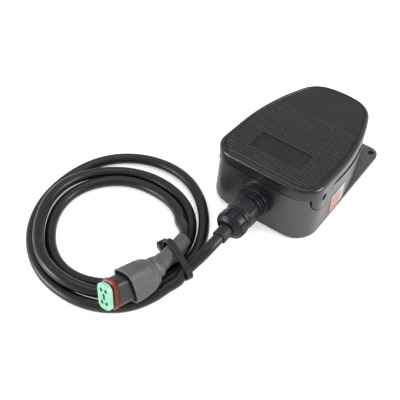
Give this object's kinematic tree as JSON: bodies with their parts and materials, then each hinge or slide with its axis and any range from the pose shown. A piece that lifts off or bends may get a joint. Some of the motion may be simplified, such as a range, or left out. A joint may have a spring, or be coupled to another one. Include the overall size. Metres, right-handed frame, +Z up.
{
  "type": "foot switch",
  "caption": "Treadle foot switch with a ribbed pedal hinged on a moulded housing, a cable gland and a coiled lead that ends in a booted sealed plug.",
  "frame": {"origin": "on the surface the switch stands on, under the middle of its bounding box without the cord", "axes": "+Z up, +Y from the cable gland to the rounded nose of the pedal, +X to the right seen from the cable end"},
  "size_m": [0.1794, 0.2564, 0.048],
  "materials": {
    "plate_steel": "satin",
    "pad_rubber": "matte",
    "housing_plastic": "gloss",
    "pedal_plastic": "fine grain",
    "gland_plastic": "satin",
    "label": "gloss film",
    "steel": "brushed",
    "bronze": "satin",
    "brass": "bright",
    "black_rubber": "matte",
    "cord_jacket": "satin",
    "switch_plastic": "matte",
    "button_red": "gloss",
    "wire_red": "satin",
    "wire_white": "satin",
    "wire_blue": "satin",
    "tie_nylon": "satin",
    "boot_rubber": "satin",
    "plug_plastic": "satin",
    "seal_silicone": "satin",
    "wedge_green": "satin"
  },
  "bodies": {
    "base_body": {"base_plate": "plate_steel", "base_pad": "pad_rubber", "base_screw_1": "steel", "base_screw_2": "steel", "base_screw_3": "steel", "base_screw_4": "steel", "gasket": "black_rubber", "housing": "housing_plastic", "side_label": "label", "pivot_pin_left": "steel", "pivot_pin_right": "steel", "return_spring": "steel", "stop_bumper_left": "black_rubber", "stop_bumper_right": "black_rubber", "rest_bumper_left": "black_rubber", "rest_bumper_right": "black_rubber", "plunger_bush": "brass", "plunger_bellows": "black_rubber", "switch_body": "switch_plastic", "switch_terminals": "brass", "switch_bracket": "steel", "switch_screw_1": "steel", "switch_screw_2": "steel", "inner_lead_1": "wire_red", "inner_lead_2": "wire_white", "inner_lead_3": "wire_blue", "gland_body": "gland_plastic", "gland_locknut": "gland_plastic", "gland_nut": "gland_plastic", "gland_crown": "gland_plastic", "cord_sleeve": "black_rubber", "cord_tail": "cord_jacket", "cord_lead": "cord_jacket", "cord_coil": "cord_jacket", "tie_strap": "tie_nylon", "tie_head": "tie_nylon", "plug_boot": "boot_rubber", "plug_housing": "plug_plastic", "plug_seal": "seal_silicone", "plug_wedge": "wedge_green", "plug_contact_1": "brass", "plug_contact_2": "brass", "plug_contact_3": "brass", "plug_contact_4": "brass"},
    "pedal_body": {"pedal": "pedal_plastic", "pivot_bush_left": "bronze", "pivot_bush_right": "bronze"},
    "plunger_body": {"plunger": "steel"},
    "lever_body": {"switch_lever": "steel"},
    "button_body": {"switch_button": "button_red"}
  },
  "joints": [
    {"name": "pedal_hinge", "type": "hinge", "parent": "base_body", "child": "pedal_body", "pos_m": [0, -0.041, 0.0356], "axis": [-1, 0, 0], "range_deg": [0, 5], "stiffness_Nm_per_rad": 6.5, "springref_deg": -11.46, "deforming": ["return_spring"]},
    {"name": "plunger_slide", "type": "slide", "parent": "base_body", "child": "plunger_body", "axis": [0, 0, -1], "range_m": [0, 0.0029], "deforming": ["plunger_bellows"]},
    {"name": "lever_hinge", "type": "hinge", "parent": "base_body", "child": "lever_body", "pos_m": [0, -0.021, 0.0204], "axis": [-1, 0, 0], "range_deg": [0, 12.6]},
    {"name": "button_slide", "type": "slide", "parent": "base_body", "child": "button_body", "axis": [0, 0, -1], "range_m": [0, 0.00111]}
  ],
  "couplings": [
    {"joint": "plunger_slide", "follows": "pedal_hinge", "m_per_rad": 0.033},
    {"joint": "lever_hinge", "follows": "pedal_hinge", "ratio": 2.5},
    {"joint": "button_slide", "follows": "pedal_hinge", "m_per_rad": 0.0126}
  ]
}
